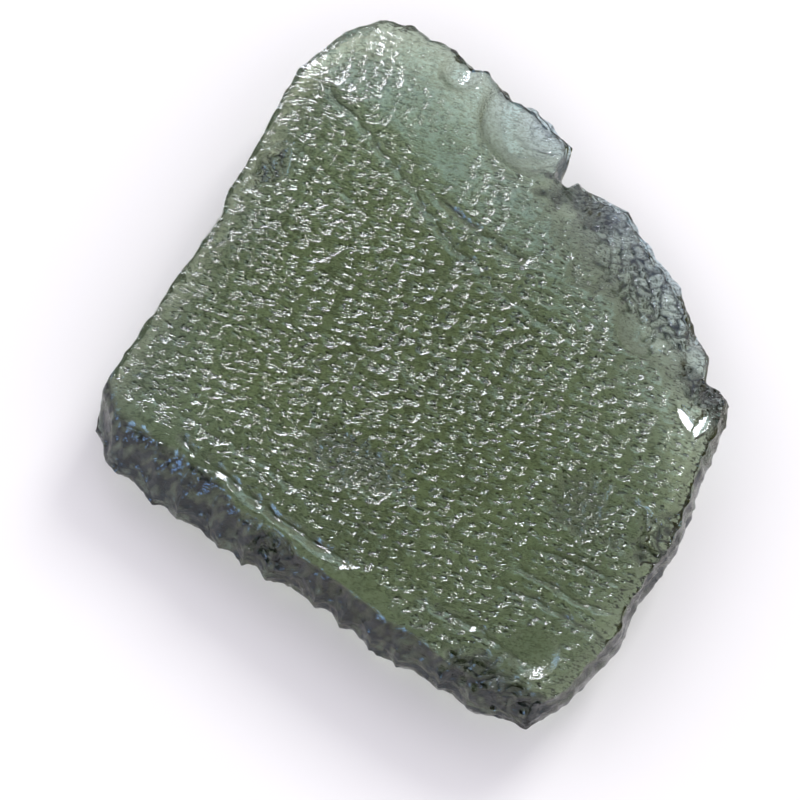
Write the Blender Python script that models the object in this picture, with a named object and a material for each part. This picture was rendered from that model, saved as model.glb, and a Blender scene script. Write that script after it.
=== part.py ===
"""Moldavite: one natural tile of green impact glass, lying on a small flat spot.

The stone is one solid. A cube is subdivided into a block of small cells, and its points are
moved onto the stone: the plan outline comes from four broken sides, the upper and lower faces
from height formulas, and the fluted walls run between the two rims.
Sizes are millimetres up to the last step, which turns them into metres. +Z is up, the plan's
long axis runs along Y, and the origin is the middle of the footprint at the resting height.
"""

import math

import bmesh
import bpy
import numpy as np

MM = 0.001

# Block of cells
CELLS_ALONG = 42
CELLS_ACROSS = 38
WALL_ROWS = 6

# Upper face: its crown, and the hinge line beyond which it slopes to the upper right
CROWN_HEIGHT = 4.9
SWELL_HEIGHT = 0.12
SWELL_LENGTH = 7.0
HINGE_START = np.array([-4.5, 14.5])
HINGE_END = np.array([9.5, -1.5])
HINGE_SLOPE = 0.14
HINGE_SOFTNESS = 2.0

# Rounding towards the top corner
TOP_TOWARDS = (0.2, 0.98)
TOP_START = 12.5
TOP_CURVE = 0.014

# Broken zone along the right-hand part of the upper-right side
BROKEN_START = np.array([8.6, 9.6])
BROKEN_END = np.array([15.2, -1.2])
BROKEN_WIDTH = 3.0
BROKEN_DROP = 0.95
BROKEN_FADE = 1.2

# Steep bevel along the lower-left side, wider at its left end
BEVEL_SLOPE = 0.66
NARROW_BEVEL = 1.5
WIDE_BEVEL = 2.4
BEVEL_FROM_X = -5.0
BEVEL_TO_X = -11.0

# Groove above the bevel
GROOVE_START = np.array([-11.3, -4.5])
GROOVE_END = np.array([-3.2, -10.8])
GROOVE_WIDTH = 0.45
GROOVE_DEPTH = 0.22
GROOVE_FADE = 1.5

# Shell-shaped chips: x, y, rim radius, depth, steepness of the rim
CHIPS = [
    (6.9, 12.75, 3.45, 0.85, 6.0),
    (7.7, 12.3, 2.3, 0.70, 3.0),
    (2.6, 15.2, 0.95, 0.28, 4.0),
    (11.7, 1.3, 1.25, 0.30, 3.0),
    (5.8, -15.4, 1.3, 0.20, 3.0),
]

# Underside: the flat rest, and the belly around it
REST_CENTRE = (0.4, -1.0)
REST_HALF_LENGTH = 5.6
REST_HALF_WIDTH = 4.6
BELLY_RISE = 0.009
BELLY_LIMIT = 0.5
BELLY_ROUGHNESS = 0.17
BELLY_LUMP = 2.6
BELLY_FADE = 3.0
THINNEST = 0.4

# How far the underside rises at a side, and over what width
FEATHERS = {
    "upper_left": (0.3, 2.0),
    "upper_right": (1.7, 7.0),
}

# Near the notch the underside rises less: place, share of the rise that is left out, reach
NOTCH_SPOT = (7.0, 9.6)
NOTCH_LEFT_OUT = 0.7
NOTCH_REACH = 3.5

# Walls: rim inset, foot inset, share of the height where the wall is widest, shoulder drop
WALLS = {
    "lower_left": (0.30, 0.60, 0.50, 0.15),
    "lower_right": (0.30, 0.80, 0.40, 0.20),
    "upper_left": (0.05, -0.55, 0.95, 0.05),
    "upper_right": (0.05, -0.35, 0.95, 0.08),
}
INSET_REACH = 1.6
SHOULDER_WIDTH = 0.8
WALL_ROUGHNESS = 0.10
WALL_SKIN = 0.05

# Flutes of the lower-left wall: places of the teeth along it, and depths between them
FLUTE_TEETH = [0.0, 2.6, 4.9, 6.3, 8.9, 10.4, 11.8, 14.6, 16.2, 18.0, 19.6, 21.9, 23.6, 26.6]
FLUTE_DEPTHS = [0.15, 0.28, 0.35, 0.28, 0.42, 0.45, 0.4, 0.46, 0.38, 0.28, 0.36, 0.32, 0.16]

# Plan outline, one list of points for each broken side, corner to corner
UPPER_LEFT_SIDE = [
    (-15.6, -3.3),
    (-15.2, -1.8),
    (-12.6, 2.3),
    (-12.0, 3.5),
    (-10.9, 5.0),
    (-9.4, 7.3),
    (-9.1, 8.5),
    (-5.7, 15.0),
    (-3.4, 17.3),
    (-1.6, 18.1),
]
UPPER_RIGHT_SIDE = [
    (-1.6, 18.1),
    (0.2, 17.8),
    (1.1, 17.0),
    (1.8, 16.9),
    (3.2, 15.5),
    (3.9, 15.3),
    (5.1, 13.8),
    (6.2, 13.4),
    (7.2, 12.3),
    (7.9, 11.7),
    (7.6, 10.7),
    (7.2, 9.6),
    (7.9, 9.1),
    (8.5, 9.4),
    (9.4, 8.7),
    (10.8, 7.9),
    (11.9, 5.7),
    (12.9, 4.3),
    (13.7, 2.6),
    (14.0, 0.9),
    (14.7, 0.3),
    (14.5, -1.1),
    (15.1, -1.7),
    (15.7, -2.6),
]
LOWER_RIGHT_SIDE = [
    (5.5, -18.3),
    (7.5, -17.4),
    (8.2, -16.6),
    (10.2, -14.4),
    (10.9, -12.6),
    (13.0, -9.6),
    (13.8, -7.9),
    (14.1, -6.6),
    (15.0, -4.7),
    (15.7, -2.6),
]
LOWER_LEFT_SIDE = [
    (-15.6, -3.3),
    (-15.2, -5.0),
    (-13.5, -6.4),
    (-12.1, -7.6),
    (-10.5, -8.6),
    (-8.6, -10.0),
    (-6.9, -11.2),
    (-5.1, -12.2),
    (-3.7, -13.3),
    (-1.5, -15.0),
    (1.1, -16.5),
    (3.1, -17.8),
    (5.5, -18.3),
]


def soft_step(low, high, value):
    """0 before low, 1 after high, and an even S between them."""
    share = np.clip((value - low) / (high - low), 0.0, 1.0)
    return share * share * (3.0 - 2.0 * share)


def lumps(x, y, seed):
    """Even soft lumps one unit apart, between -1 and 1."""
    table = np.random.default_rng(seed).uniform(-1.0, 1.0, (97, 97))
    left = np.floor(x).astype(int)
    low = np.floor(y).astype(int)
    right = left + 1
    high = low + 1
    across = soft_step(0.0, 1.0, x - left)
    up = soft_step(0.0, 1.0, y - low)
    lower = table[left % 97, low % 97] * (1 - across) + table[right % 97, low % 97] * across
    upper = table[left % 97, high % 97] * (1 - across) + table[right % 97, high % 97] * across
    return lower * (1 - up) + upper * up


class Side:
    """One broken side: places, outward directions and lengths along it."""

    def __init__(self, points, outwards):
        self.points = np.array(points)
        steps = np.hypot(*np.diff(self.points, axis=0).T)
        self.reached = np.concatenate([[0.0], np.cumsum(steps)])
        self.length = self.reached[-1]
        self.outwards = outwards

    def at(self, share):
        place = np.clip(share, 0.0, 1.0) * self.length
        x = np.interp(place, self.reached, self.points[:, 0])
        y = np.interp(place, self.reached, self.points[:, 1])
        return np.stack([x, y], axis=-1)

    def outward(self, share):
        span = 1.2 / self.length
        run = self.at(share + span) - self.at(share - span)
        run /= np.linalg.norm(run, axis=-1, keepdims=True)
        return np.stack([run[..., 1], -run[..., 0]], axis=-1) * self.outwards


UPPER_LEFT = Side(UPPER_LEFT_SIDE, -1.0)
UPPER_RIGHT = Side(UPPER_RIGHT_SIDE, -1.0)
LOWER_RIGHT = Side(LOWER_RIGHT_SIDE, 1.0)
LOWER_LEFT = Side(LOWER_LEFT_SIDE, 1.0)


def ruled_patch(u, v):
    """The place in plan of a grid point: u runs along the lower-left side, v away from it."""
    low = LOWER_LEFT.at(u)
    high = UPPER_RIGHT.at(u)
    left = UPPER_LEFT.at(v)
    right = LOWER_RIGHT.at(v)
    u = u[:, None]
    v = v[:, None]
    corner_low = LOWER_LEFT.points[0] * (1 - u) + LOWER_LEFT.points[-1] * u
    corner_high = UPPER_RIGHT.points[0] * (1 - u) + UPPER_RIGHT.points[-1] * u
    between = low * (1 - v) + high * v + left * (1 - u) + right * u
    return between - (corner_low * (1 - v) + corner_high * v)


def beside_line(x, y, start, end):
    """Distance along the line from start to end, and distance to its left."""
    run = (end - start) / np.linalg.norm(end - start)
    along = (x - start[0]) * run[0] + (y - start[1]) * run[1]
    beside = run[0] * (y - start[1]) - run[1] * (x - start[0])
    return along, beside


def upper_slopes(x, y):
    """The crown, the slope beyond the hinge, the top corner and the broken zone."""
    height = CROWN_HEIGHT + SWELL_HEIGHT * lumps(x / SWELL_LENGTH, y / SWELL_LENGTH, 3)
    _, beyond = beside_line(x, y, HINGE_START, HINGE_END)
    beyond = np.maximum(beyond + 0.5 * lumps(x / 2.5, y / 2.5, 5), 0.0)
    height -= HINGE_SLOPE * beyond * beyond / (beyond + HINGE_SOFTNESS)
    beyond = x * TOP_TOWARDS[0] + y * TOP_TOWARDS[1] - TOP_START
    height -= TOP_CURVE * np.maximum(beyond, 0.0) ** 2
    along, beside = beside_line(x, y, BROKEN_START, BROKEN_END)
    length = np.linalg.norm(BROKEN_END - BROKEN_START)
    ends = soft_step(-BROKEN_FADE, BROKEN_FADE, along)
    ends *= soft_step(length + BROKEN_FADE, length, along)
    return height - BROKEN_DROP * ends * soft_step(-BROKEN_WIDTH, 0.4, beside)


def bevel_drop(x, to_lower_left):
    """How far the bevel lowers the upper face."""
    wide = soft_step(BEVEL_FROM_X, BEVEL_TO_X, x)
    width = NARROW_BEVEL + (WIDE_BEVEL - NARROW_BEVEL) * wide
    share = np.clip(1.0 - to_lower_left / width, 0.0, 1.0)
    return BEVEL_SLOPE * width * share ** 1.2


def groove_depth(x, y):
    """Depth of the groove above the bevel."""
    along, beside = beside_line(x, y, GROOVE_START, GROOVE_END)
    length = np.linalg.norm(GROOVE_END - GROOVE_START)
    ends = soft_step(0.0, GROOVE_FADE, along) * soft_step(length, length - GROOVE_FADE, along)
    return GROOVE_DEPTH * ends * np.exp(-((beside / GROOVE_WIDTH) ** 2))


def chip_bowls(x, y, height):
    """The height after the shell-shaped chips are taken away."""
    for chip_x, chip_y, radius, depth, steepness in CHIPS:
        away = np.hypot(x - chip_x, y - chip_y)
        rim_height = np.median(height[np.abs(away - radius) < 0.4])
        bowl = rim_height - depth * (1.0 - (away / radius) ** steepness)
        height = np.where(away < radius * 1.3, np.minimum(height, bowl), height)
    return height


def underside(x, y):
    """Height of the lower face: 0 on the rest, and a gentle uneven belly around it."""
    off_x = x - REST_CENTRE[0]
    off_y = y - REST_CENTRE[1]
    wide = (off_x + off_y) / math.sqrt(2.0)
    long = (off_y - off_x) / math.sqrt(2.0)
    share = np.hypot(wide / REST_HALF_WIDTH, long / REST_HALF_LENGTH)
    beyond = np.maximum(share - 1.0, 0.0) * REST_HALF_LENGTH
    rise = np.minimum(BELLY_RISE * beyond * beyond, BELLY_LIMIT)
    uneven = 1.0 + lumps(x / BELLY_LUMP, y / BELLY_LUMP, 51)
    return rise + BELLY_ROUGHNESS * soft_step(0.0, BELLY_FADE, beyond) * uneven


def fluting(share):
    """How far the lower-left wall is cut in by its flutes."""
    place = share * LOWER_LEFT.length
    cut = np.zeros(np.shape(share))
    for start, end, depth in zip(FLUTE_TEETH, FLUTE_TEETH[1:], FLUTE_DEPTHS):
        inside = np.clip((place - start) / (end - start), 0.0, 1.0)
        cut += depth * np.sin(math.pi * inside ** 0.8)
    return cut


def wall_push(name, side, share, row):
    """How far outwards a side's wall stands from the outline."""
    rim_inset, foot_inset, widest, _ = WALLS[name]
    foot = foot_inset * np.clip(1.0 - row / widest, 0.0, 1.0) ** 1.2
    if foot_inset < 0.0:
        foot = foot * soft_step(0.0, 0.15, share) * soft_step(1.0, 0.85, share)
    rim = rim_inset * np.clip((row - widest) / (1.0 - widest), 0.0, 1.0) ** 2
    rough = WALL_ROUGHNESS * lumps(share * side.length / 1.1, row * CROWN_HEIGHT / 0.8, 61)
    push = WALL_SKIN + rough - foot - rim
    if name == "lower_left":
        push = push - fluting(share) * (0.55 + 0.45 * row)
    return push


def stone_points(u, v, row):
    """Where points of the block, given as shares of it, lie on the stone."""
    across = UPPER_LEFT.length
    along = LOWER_LEFT.length
    sides = (
        ("lower_left", LOWER_LEFT, u, v * across),
        ("upper_right", UPPER_RIGHT, u, (1.0 - v) * across),
        ("upper_left", UPPER_LEFT, v, u * along),
        ("lower_right", LOWER_RIGHT, v, (1.0 - u) * along),
    )
    moved = ruled_patch(u, v)
    feather = np.zeros(len(u))
    shoulder = np.zeros(len(u))
    for name, side, share, away in sides:
        push = wall_push(name, side, share, row) * soft_step(INSET_REACH, 0.0, away)
        moved += side.outward(share) * push[:, None]
        drop = WALLS[name][3] * soft_step(SHOULDER_WIDTH, 0.0, away)
        shoulder = np.maximum(shoulder, drop)
        if name in FEATHERS:
            rise, width = FEATHERS[name]
            feather = np.maximum(feather, rise * np.clip(1.0 - away / width, 0.0, 1.0) ** 2)
    x, y = moved.T
    left_corner = LOWER_LEFT.points[0]
    top_corner = UPPER_LEFT.points[-1]
    feather *= soft_step(0.0, 9.0, np.hypot(x - left_corner[0], y - left_corner[1]))
    feather *= 0.3 + 0.7 * soft_step(1.0, 7.0, np.hypot(x - top_corner[0], y - top_corner[1]))
    from_notch = np.hypot(x - NOTCH_SPOT[0], y - NOTCH_SPOT[1])
    feather *= 1.0 - NOTCH_LEFT_OUT * soft_step(NOTCH_REACH, 0.5, from_notch)
    top = chip_bowls(x, y, upper_slopes(x, y) - groove_depth(x, y))
    top -= bevel_drop(x, v * across) + shoulder
    bottom = underside(x, y) + feather
    top = np.maximum(top, bottom + THINNEST)
    return np.stack([x, y, bottom + (top - bottom) * row], axis=1)


def edges_along(block, axis):
    """The edges of a block that run along one axis."""
    return [e for e in block.edges if abs(e.verts[0].co[axis] - e.verts[1].co[axis]) > 0.01]


def block_of_cells():
    """A cube whose upper and lower faces are fine grids and whose sides have a few rows."""
    block = bmesh.new()
    bmesh.ops.create_cube(block, size=1.0)
    for axis, cells in ((0, CELLS_ALONG), (1, CELLS_ACROSS), (2, WALL_ROWS)):
        edges = edges_along(block, axis)
        bmesh.ops.subdivide_edges(block, edges=edges, cuts=cells - 1, use_grid_fill=True)
    return block


def moldavite_mesh():
    """The stone's mesh, in metres, with its footprint centred on the origin."""
    block = block_of_cells()
    shares = np.array([vert.co[:] for vert in block.verts]) + 0.5
    places = stone_points(*shares.T)
    lowest = places.min(axis=0)
    middle = (lowest + places.max(axis=0)) / 2.0
    places -= [middle[0], middle[1], lowest[2]]
    for vert, place in zip(block.verts, places * MM):
        vert.co = place
    mesh = bpy.data.meshes.new("moldavite")
    block.to_mesh(mesh)
    block.free()
    mesh.shade_flat()
    return mesh


def green_glass():
    """Olive-green natural glass."""
    material = bpy.data.materials.new("green_glass")
    material.use_nodes = True
    shader = material.node_tree.nodes["Principled BSDF"]
    shader.inputs["Base Color"].default_value = (0.13, 0.19, 0.07, 1.0)
    shader.inputs["Metallic"].default_value = 0.0
    shader.inputs["Roughness"].default_value = 0.18
    shader.inputs["IOR"].default_value = 1.49
    shader.inputs["Transmission Weight"].default_value = 0.8
    return material


def main():
    for old in list(bpy.data.objects):
        bpy.data.objects.remove(old, do_unlink=True)
    group = bpy.data.collections.new("moldavite")
    bpy.context.scene.collection.children.link(group)
    stone = bpy.data.objects.new("moldavite", moldavite_mesh())
    stone.data.materials.append(green_glass())
    group.objects.link(stone)


main()
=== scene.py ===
# %% [markdown]
# # A moldavite in Blender
# Moldavite is green glass that a meteorite impact splashed out and that the ground has etched
# ever since. This lesson builds one flat tile of it, about 37 mm long: a closed mesh with a
# pitted face, fluted walls and later breaks, a clear glass whose colour comes from its depth,
# and a bright plain set to look at it.
# The sizes of the stone are in millimetres, and turn into metres at one place only. The
# glass, the floor, the lamps and the camera are set in metres.

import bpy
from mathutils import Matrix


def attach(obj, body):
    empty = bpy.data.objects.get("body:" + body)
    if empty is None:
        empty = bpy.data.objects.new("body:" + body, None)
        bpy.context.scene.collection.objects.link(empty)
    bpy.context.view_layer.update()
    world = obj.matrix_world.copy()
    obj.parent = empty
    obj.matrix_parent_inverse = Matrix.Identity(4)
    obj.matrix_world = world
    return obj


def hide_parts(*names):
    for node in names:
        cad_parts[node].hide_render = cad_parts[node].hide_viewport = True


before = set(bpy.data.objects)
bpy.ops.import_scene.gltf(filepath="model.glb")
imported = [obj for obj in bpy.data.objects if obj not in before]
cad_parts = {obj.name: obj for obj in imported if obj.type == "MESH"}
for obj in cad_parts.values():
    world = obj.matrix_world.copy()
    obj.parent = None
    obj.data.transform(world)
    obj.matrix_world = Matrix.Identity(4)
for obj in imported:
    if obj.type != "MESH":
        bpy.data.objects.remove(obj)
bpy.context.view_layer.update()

# %% [markdown]
# ## Tools for shaping
# A stone has no straight lines to draw. It could be sculpted by hand, but a hand-made sculpt
# can't be changed later by one number. So its shape is written as a sum of small rules: a
# soft step for a slope, even lumps for waviness, and scattered centres for pits and cracks.
# Each rule takes whole arrays of points. The random tables have fixed seeds, so the same
# stone comes out each time.

# %% Libraries and units
import math

import bmesh
import bpy
import numpy as np
from mathutils import Vector

MM = 0.001

# %% Soft steps and lumps
TABLE_SIZE = 97


def soft_step(low, high, value):
    """0 before low, 1 after high, and an even S between them."""
    share = np.clip((value - low) / (high - low), 0.0, 1.0)
    return share * share * (3.0 - 2.0 * share)


def lumps(x, y, seed):
    """Even soft lumps one unit apart, between -1 and 1."""
    table = np.random.default_rng(seed).uniform(-1.0, 1.0, (TABLE_SIZE, TABLE_SIZE))
    left = np.floor(x).astype(int)
    low = np.floor(y).astype(int)
    across = soft_step(0.0, 1.0, x - left)
    up = soft_step(0.0, 1.0, y - low)

    def on_line(line):
        start = table[left % TABLE_SIZE, line % TABLE_SIZE]
        end = table[(left + 1) % TABLE_SIZE, line % TABLE_SIZE]
        return start * (1 - across) + end * across

    return on_line(low) * (1 - up) + on_line(low + 1) * up


print("lumps along a line:", np.round(lumps(np.arange(4) + 0.5, np.zeros(4), 3), 2))

# %% [markdown]
# Pits and cracks both start from scattered centres, one to each square cell, never close to
# its border. The distance to the nearest centre makes a bowl. Where the nearest and the next
# centre are equally far, a net of lines appears: that is the crack pattern. Blender's
# Voronoi texture does this in a material. Here the mesh itself is shaped, so the rule is
# written out.

# %% Scattered centres
NEAREST_BORDER = 0.2
FAR_AWAY = 9.0


def scattered(x, y, seed):
    """Distance to the nearest centre and to the next one, a random share from 0 to 1 that
    belongs to the nearest, and the way from it."""
    size = (TABLE_SIZE, TABLE_SIZE, 3)
    table = np.random.default_rng(seed).uniform(NEAREST_BORDER, 1.0 - NEAREST_BORDER, size)
    nearest = np.full(np.shape(x), FAR_AWAY)
    second = np.full(np.shape(x), FAR_AWAY)
    own = np.zeros(np.shape(x))
    off_x = np.zeros(np.shape(x))
    off_y = np.zeros(np.shape(x))
    for step_x in (-1, 0, 1):
        for step_y in (-1, 0, 1):
            cell_x = np.floor(x).astype(int) + step_x
            cell_y = np.floor(y).astype(int) + step_y
            centre = table[cell_x % TABLE_SIZE, cell_y % TABLE_SIZE]
            from_x = x - cell_x - centre[..., 0]
            from_y = y - cell_y - centre[..., 1]
            away = np.hypot(from_x, from_y)
            closer = away < nearest
            second = np.where(closer, nearest, np.minimum(second, away))
            own = np.where(closer, centre[..., 2], own)
            off_x = np.where(closer, from_x, off_x)
            off_y = np.where(closer, from_y, off_y)
            nearest = np.minimum(nearest, away)
    return nearest, second, own, off_x, off_y


print("to the nearest centre:", np.round(scattered(np.arange(4) + 0.5, np.zeros(4), 3)[0], 2))


# %% [markdown]
# Nothing on the stone runs along the axes: pits, streaks and creases all lie slantwise. Three
# more helpers measure along a turned direction, beside a line, and away from a spot.

# %% Turned directions and distances
def turned(x, y, degrees):
    """Coordinates along and across a direction turned that far from the x axis."""
    angle = math.radians(degrees)
    along = x * math.cos(angle) + y * math.sin(angle)
    across = y * math.cos(angle) - x * math.sin(angle)
    return along, across


def beside_line(x, y, start, end):
    """Distance along the line from start to end, and distance to its left."""
    run = (end - start) / np.linalg.norm(end - start)
    along = (x - start[0]) * run[0] + (y - start[1]) * run[1]
    beside = run[0] * (y - start[1]) - run[1] * (x - start[0])
    return along, beside


def distance(x, y, spot):
    """Distance in plan from a spot."""
    return np.hypot(x - spot[0], y - spot[1])


print("from the origin to (3, 4):", distance(3.0, 4.0, (0.0, 0.0)))

# %% [markdown]
# ## The plan outline
# Seen from above the tile has four broken sides that meet at four corners. Each side is a
# short list of points read from the stone, from corner to corner, with the small steps that
# make a break look broken.

# %% Four broken sides
UPPER_LEFT_SIDE = [
    (-15.6, -3.3), (-15.2, -1.8), (-12.6, 2.3), (-12.0, 3.5), (-10.9, 5.0),
    (-9.4, 7.3), (-9.1, 8.5), (-5.7, 15.0), (-3.4, 17.3), (-1.6, 18.1),
]
UPPER_RIGHT_SIDE = [
    (-1.6, 18.1), (0.2, 17.8), (1.1, 17.0), (1.8, 16.9), (3.2, 15.5), (3.9, 15.3),
    (5.1, 13.8), (6.2, 13.4), (7.2, 12.3), (7.9, 11.7), (7.6, 10.7), (7.2, 9.6),
    (7.9, 9.1), (8.5, 9.4), (9.4, 8.7), (10.8, 7.9), (11.9, 5.7), (12.9, 4.3),
    (13.7, 2.6), (14.0, 0.9), (14.7, 0.3), (14.5, -1.1), (15.1, -1.7), (15.7, -2.6),
]
LOWER_RIGHT_SIDE = [
    (5.5, -18.3), (7.5, -17.4), (8.2, -16.6), (10.2, -14.4), (10.9, -12.6),
    (13.0, -9.6), (13.8, -7.9), (14.1, -6.6), (15.0, -4.7), (15.7, -2.6),
]
LOWER_LEFT_SIDE = [
    (-15.6, -3.3), (-15.2, -5.0), (-13.5, -6.4), (-12.1, -7.6), (-10.5, -8.6),
    (-8.6, -10.0), (-6.9, -11.2), (-5.1, -12.2), (-3.7, -13.3), (-1.5, -15.0),
    (1.1, -16.5), (3.1, -17.8), (5.5, -18.3),
]

# %% Walk along a side
TANGENT_REACH = 1.2


class Side:
    """One broken side: places, outward directions and lengths along it."""

    def __init__(self, points, outwards):
        self.points = np.array(points)
        steps = np.hypot(*np.diff(self.points, axis=0).T)
        self.reached = np.concatenate([[0.0], np.cumsum(steps)])
        self.length = self.reached[-1]
        self.outwards = outwards

    def at(self, share):
        place = np.clip(share, 0.0, 1.0) * self.length
        x = np.interp(place, self.reached, self.points[:, 0])
        y = np.interp(place, self.reached, self.points[:, 1])
        return np.stack([x, y], axis=-1)

    def outward(self, share):
        span = TANGENT_REACH / self.length
        run = self.at(share + span) - self.at(share - span)
        run /= np.linalg.norm(run, axis=-1, keepdims=True)
        return np.stack([run[..., 1], -run[..., 0]], axis=-1) * self.outwards


upper_left = Side(UPPER_LEFT_SIDE, -1.0)
upper_right = Side(UPPER_RIGHT_SIDE, -1.0)
lower_right = Side(LOWER_RIGHT_SIDE, 1.0)
lower_left = Side(LOWER_LEFT_SIDE, 1.0)
for label, side in (("lower left", lower_left), ("upper right", upper_right)):
    print(label, "side runs", round(side.length, 1), "mm")


# %% [markdown]
# A flat grid has to fill this outline. Cutting the outline out of a square grid would leave
# slivers at the edge. A ruled patch between the four sides gives every grid point its own
# place instead, so the cells stay even and run out to the true edge.

# %% Fill the outline with a ruled patch
def ruled_patch(u, v):
    """The place in plan of a grid point: u runs along the lower-left side, v away from it."""
    low = lower_left.at(u)
    high = upper_right.at(u)
    left = upper_left.at(v)
    right = lower_right.at(v)
    u = u[:, None]
    v = v[:, None]
    corner_low = lower_left.points[0] * (1 - u) + lower_left.points[-1] * u
    corner_high = upper_right.points[0] * (1 - u) + upper_right.points[-1] * u
    between = low * (1 - v) + high * v + left * (1 - u) + right * u
    return between - (corner_low * (1 - v) + corner_high * v)


print("middle of the patch:", np.round(ruled_patch(np.array([0.5]), np.array([0.5])), 2))

# %% [markdown]
# ## The upper face
# The tile is thickest at its crown. Beyond a slanting hinge line it thins towards the upper
# right, it rounds off at the top corner, and the broken part of its right-hand edge lies
# lower again. The thinner the glass, the paler it looks, so these slopes also paint the
# stone's change from deep olive to pale green.

# %% Large slopes of the upper face
CROWN_HEIGHT = 4.9
SWELL_HEIGHT = 0.12
SWELL_LENGTH = 7.0
HINGE_START = np.array([-4.5, 14.5])
HINGE_END = np.array([9.5, -1.5])
HINGE_SLOPE = 0.14
HINGE_SOFTNESS = 2.0
HINGE_WANDER = 0.5
TOP_TOWARDS = (0.2, 0.98)
TOP_START = 12.5
TOP_CURVE = 0.014
BROKEN_START = np.array([8.6, 9.6])
BROKEN_END = np.array([15.2, -1.2])
BROKEN_WIDTH = 3.0
BROKEN_LIP = 0.4
BROKEN_FADE = 1.2
BROKEN_DROP = 0.95


def upper_slopes(x, y):
    """The large shape of the upper face."""
    height = CROWN_HEIGHT + SWELL_HEIGHT * lumps(x / SWELL_LENGTH, y / SWELL_LENGTH, 3)
    _, beyond = beside_line(x, y, HINGE_START, HINGE_END)
    beyond = np.maximum(beyond + HINGE_WANDER * lumps(x / 2.5, y / 2.5, 5), 0.0)
    height -= HINGE_SLOPE * beyond * beyond / (beyond + HINGE_SOFTNESS)
    beyond = x * TOP_TOWARDS[0] + y * TOP_TOWARDS[1] - TOP_START
    height -= TOP_CURVE * np.maximum(beyond, 0.0) ** 2
    along, beside = beside_line(x, y, BROKEN_START, BROKEN_END)
    length = np.linalg.norm(BROKEN_END - BROKEN_START)
    ends = soft_step(-BROKEN_FADE, BROKEN_FADE, along)
    ends = ends * soft_step(length + BROKEN_FADE, length, along)
    broken = ends * soft_step(-BROKEN_WIDTH, BROKEN_LIP, beside)
    return height - BROKEN_DROP * broken


print("face above the origin:", np.round(upper_slopes(np.zeros(1), np.zeros(1)), 2), "mm")

# %% [markdown]
# Along the lower-left side the face breaks off to a steep bevel, wider near the left corner.
# It is full of small bumps and is painted dark, as painted shade, so little light comes through
# it and mostly the blue light that its bumps mirror is seen there.

# %% Bevel along the lower-left side
BEVEL_SLOPE = 0.66
BEVEL_CURVE = 1.2
NARROW_BEVEL = 1.5
WIDE_BEVEL = 2.4
BEVEL_NARROW_FROM_X = -5.0
BEVEL_WIDE_FROM_X = -11.0
BEVEL_WANDER = 0.2
BEVEL_SHADE_FADE = 0.2
BEVEL_BUMP = 0.13


def bevel_drop(x, from_lower_left):
    """How far the bevel lowers the face, and how much of a point is bevel."""
    wide = soft_step(BEVEL_NARROW_FROM_X, BEVEL_WIDE_FROM_X, x)
    width = NARROW_BEVEL + (WIDE_BEVEL - NARROW_BEVEL) * wide
    width = width * (1.0 + BEVEL_WANDER * lumps(x / 1.6, from_lower_left / 1.6, 7))
    share = np.clip(1.0 - from_lower_left / width, 0.0, 1.0)
    # painted shade: the second number paints the bevel dark as well
    return BEVEL_SLOPE * width * share ** BEVEL_CURVE, soft_step(0.0, BEVEL_SHADE_FADE, share)


def bevel_bumps(x, y):
    """The bevel's bumps, coarse ones and fine ones."""
    return lumps(x / 0.45, y / 0.35, 81) + 0.7 * lumps(x / 0.2, y / 0.17, 82)


print("bevel drops about", round(BEVEL_SLOPE * WIDE_BEVEL, 2), "mm where it is widest")

# %% [markdown]
# ## Creases
# Flow lines in the glass and single cracks show as long narrow creases. In sculpt mode a
# crease brush would draw them. Here each one is a short list of points in plan, and the face
# is lowered along it, steeply on one side and gently on the other, because a real crease
# catches the light on one side only. The first one is the groove above the bevel, and the
# last six belong to the large chip and the notch beside it.

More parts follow.
